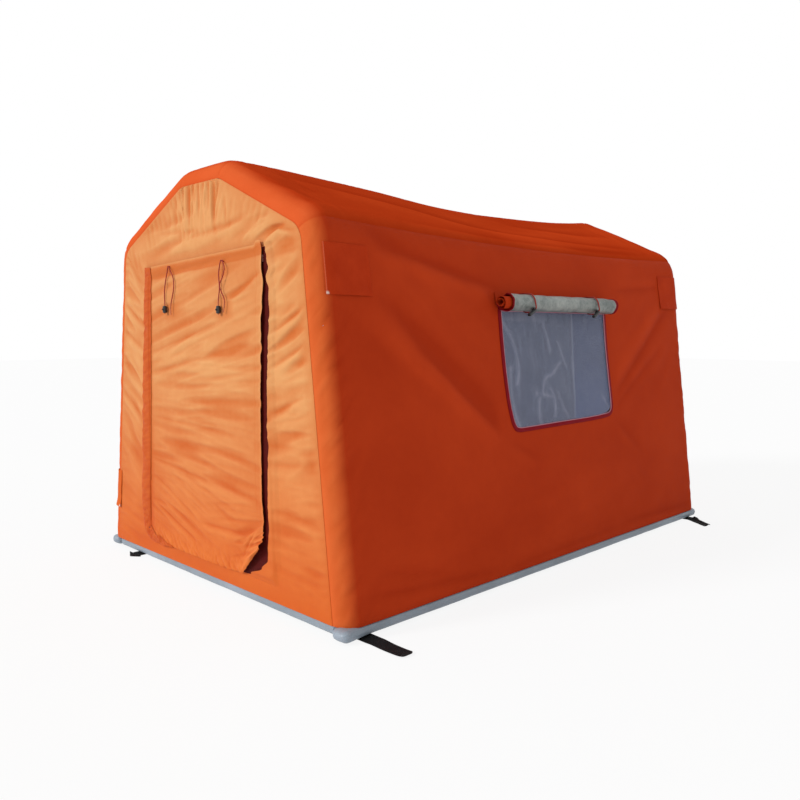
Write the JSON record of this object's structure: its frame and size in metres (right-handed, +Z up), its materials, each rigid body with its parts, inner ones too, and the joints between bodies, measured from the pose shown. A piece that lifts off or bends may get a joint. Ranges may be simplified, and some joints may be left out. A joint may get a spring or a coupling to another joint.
{
  "type": "inflatable tent",
  "caption": "Inflatable tent with two air arches on a base ring, a sewn cover, a hinged door with side zips, a side window with a rolled blind, valves and ground straps.",
  "frame": {"origin": "middle of the groundsheet's underside, on the ground", "axes": "+Z up, door towards -Y, window wall towards +X, length along Y"},
  "size_m": [2.4356, 3.056, 1.9523],
  "materials": {
    "orange_oxford": "coated woven polyester, faint sheen",
    "grey_pvc": "smooth coated tarpaulin",
    "black_webbing": "matt woven webbing",
    "red_binding": "woven edge binding",
    "grey_net": "fine net",
    "clear_film": "clear, creased",
    "silver_lining": "silver-coated inside face",
    "red_elastic": "braided elastic cord",
    "black_plastic": "moulded",
    "zip_tape": "woven tape with a raised chain"
  },
  "bodies": {
    "tent": {"front_arch_beam": "grey_pvc", "front_base_beam": "grey_pvc", "front_left_strap_root": "black_webbing", "front_relief_valve": "black_plastic", "front_right_strap_root": "black_webbing", "front_wall": "orange_oxford", "groundsheet": "grey_pvc", "inflation_valve": "black_plastic", "left_base_beam": "grey_pvc", "left_placket": "orange_oxford", "left_wall": "orange_oxford", "left_zip": "zip_tape", "rear_arch_beam": "grey_pvc", "rear_base_beam": "grey_pvc", "rear_left_strap_root": "black_webbing", "rear_relief_valve": "black_plastic", "rear_right_strap_root": "black_webbing", "rear_wall": "orange_oxford", "right_base_beam": "grey_pvc", "right_placket": "orange_oxford", "right_wall": "orange_oxford", "right_zip": "zip_tape", "roof_left": "orange_oxford", "roof_right": "orange_oxford", "roof_top": "orange_oxford", "window_binding": "red_binding", "window_film": "clear_film", "window_net": "grey_net"},
    "door": {"door_panel": "orange_oxford", "left_door_tie": "red_elastic", "right_door_tie": "red_elastic", "left_door_lock": "black_plastic", "right_door_lock": "black_plastic"},
    "left_door_lock_button": {"left_door_lock_button": "black_plastic"},
    "right_door_lock_button": {"right_door_lock_button": "black_plastic"},
    "left_zip_slider": {"left_zip_slider": "black_plastic"},
    "right_zip_slider": {"right_zip_slider": "black_plastic"},
    "blind": {"window_blind": "silver_lining", "front_blind_tie": "red_elastic", "rear_blind_tie": "red_elastic", "front_blind_lock": "black_plastic", "rear_blind_lock": "black_plastic"},
    "front_blind_lock_button": {"front_blind_lock_button": "black_plastic"},
    "rear_blind_lock_button": {"rear_blind_lock_button": "black_plastic"},
    "front_upper_flap": {"front_upper_flap": "orange_oxford"},
    "rear_upper_flap": {"rear_upper_flap": "orange_oxford"},
    "inflation_flap": {"inflation_flap": "orange_oxford"},
    "inflation_cap": {"inflation_cap": "black_plastic"},
    "inflation_plunger": {"inflation_plunger": "black_plastic"},
    "front_relief_poppet": {"front_relief_poppet": "black_plastic"},
    "rear_relief_poppet": {"rear_relief_poppet": "black_plastic"},
    "front_right_strap": {"front_right_strap": "black_webbing"},
    "rear_right_strap": {"rear_right_strap": "black_webbing"},
    "rear_left_strap": {"rear_left_strap": "black_webbing"},
    "front_left_strap": {"front_left_strap": "black_webbing"}
  },
  "joints": [
    {"name": "door_hinge", "type": "hinge", "parent": "tent", "child": "door", "pos_m": [0, -1.5003, 1.532], "axis": [-1, 0, 0], "range_deg": [0, 90]},
    {"name": "left_door_lock_press", "type": "slide", "parent": "door", "child": "left_door_lock_button", "axis": [0, 1, 0], "range_m": [0, 0.0018], "stiffness_N_per_m": 300},
    {"name": "right_door_lock_press", "type": "slide", "parent": "door", "child": "right_door_lock_button", "axis": [0, 1, 0], "range_m": [0, 0.0018], "stiffness_N_per_m": 300},
    {"name": "left_zip_slide", "type": "slide", "parent": "tent", "child": "left_zip_slider", "axis": [0.0365, 0, 0.9993], "range_m": [0, 1.318]},
    {"name": "right_zip_slide", "type": "slide", "parent": "tent", "child": "right_zip_slider", "axis": [-0.0365, 0, 0.9993], "range_m": [-1.318, 0]},
    {"name": "blind_hinge", "type": "hinge", "parent": "tent", "child": "blind", "pos_m": [0.83541, 0, 1.38319], "axis": [0, -1, 0], "range_deg": [0, 80]},
    {"name": "front_blind_lock_press", "type": "slide", "parent": "blind", "child": "front_blind_lock_button", "axis": [-0.7276, 0, 0.686], "range_m": [0, 0.0018], "stiffness_N_per_m": 300},
    {"name": "rear_blind_lock_press", "type": "slide", "parent": "blind", "child": "rear_blind_lock_button", "axis": [-0.7276, 0, 0.686], "range_m": [0, 0.0018], "stiffness_N_per_m": 300},
    {"name": "front_upper_flap_hinge", "type": "hinge", "parent": "tent", "child": "front_upper_flap", "pos_m": [0.83582, -1.4127, 1.54231], "axis": [0, -1, 0], "range_deg": [0, 90]},
    {"name": "rear_upper_flap_hinge", "type": "hinge", "parent": "tent", "child": "rear_upper_flap", "pos_m": [0.83582, 1.4127, 1.54231], "axis": [0, -1, 0], "range_deg": [0, 90]},
    {"name": "inflation_flap_hinge", "type": "hinge", "parent": "tent", "child": "inflation_flap", "pos_m": [-0.96539, -1.4127, 0.4375], "axis": [0, 1, 0], "range_deg": [0, 90]},
    {"name": "inflation_cap_turn", "type": "hinge", "parent": "tent", "child": "inflation_cap", "pos_m": [-0.96176, -1.4127, 0.34357], "axis": [-0.9932, 0, 0.1165], "range_deg": [0, 90]},
    {"name": "inflation_plunger_press", "type": "slide", "parent": "tent", "child": "inflation_plunger", "axis": [0.9932, 0, -0.1165], "range_m": [0, 0.005], "stiffness_N_per_m": 300},
    {"name": "front_relief_lift", "type": "slide", "parent": "tent", "child": "front_relief_poppet", "axis": [0.9932, 0, 0.1165], "range_m": [0, 0.004], "stiffness_N_per_m": 600},
    {"name": "rear_relief_lift", "type": "slide", "parent": "tent", "child": "rear_relief_poppet", "axis": [0.9932, 0, 0.1165], "range_m": [0, 0.004], "stiffness_N_per_m": 600},
    {"name": "front_right_strap_fold", "type": "hinge", "parent": "tent", "child": "front_right_strap", "pos_m": [1.02156, -1.395, 0.0035], "axis": [0, -1, 0], "range_deg": [0, 90]},
    {"name": "rear_right_strap_fold", "type": "hinge", "parent": "tent", "child": "rear_right_strap", "pos_m": [1.02156, 1.395, 0.0035], "axis": [0, -1, 0], "range_deg": [0, 90]},
    {"name": "rear_left_strap_fold", "type": "hinge", "parent": "tent", "child": "rear_left_strap", "pos_m": [-1.02156, 1.395, 0.0035], "axis": [0, 1, 0], "range_deg": [0, 90]},
    {"name": "front_left_strap_fold", "type": "hinge", "parent": "tent", "child": "front_left_strap", "pos_m": [-0.713, -1.5063, 0.0035], "axis": [-1, 0, 0], "range_deg": [0, 90]}
  ]
}
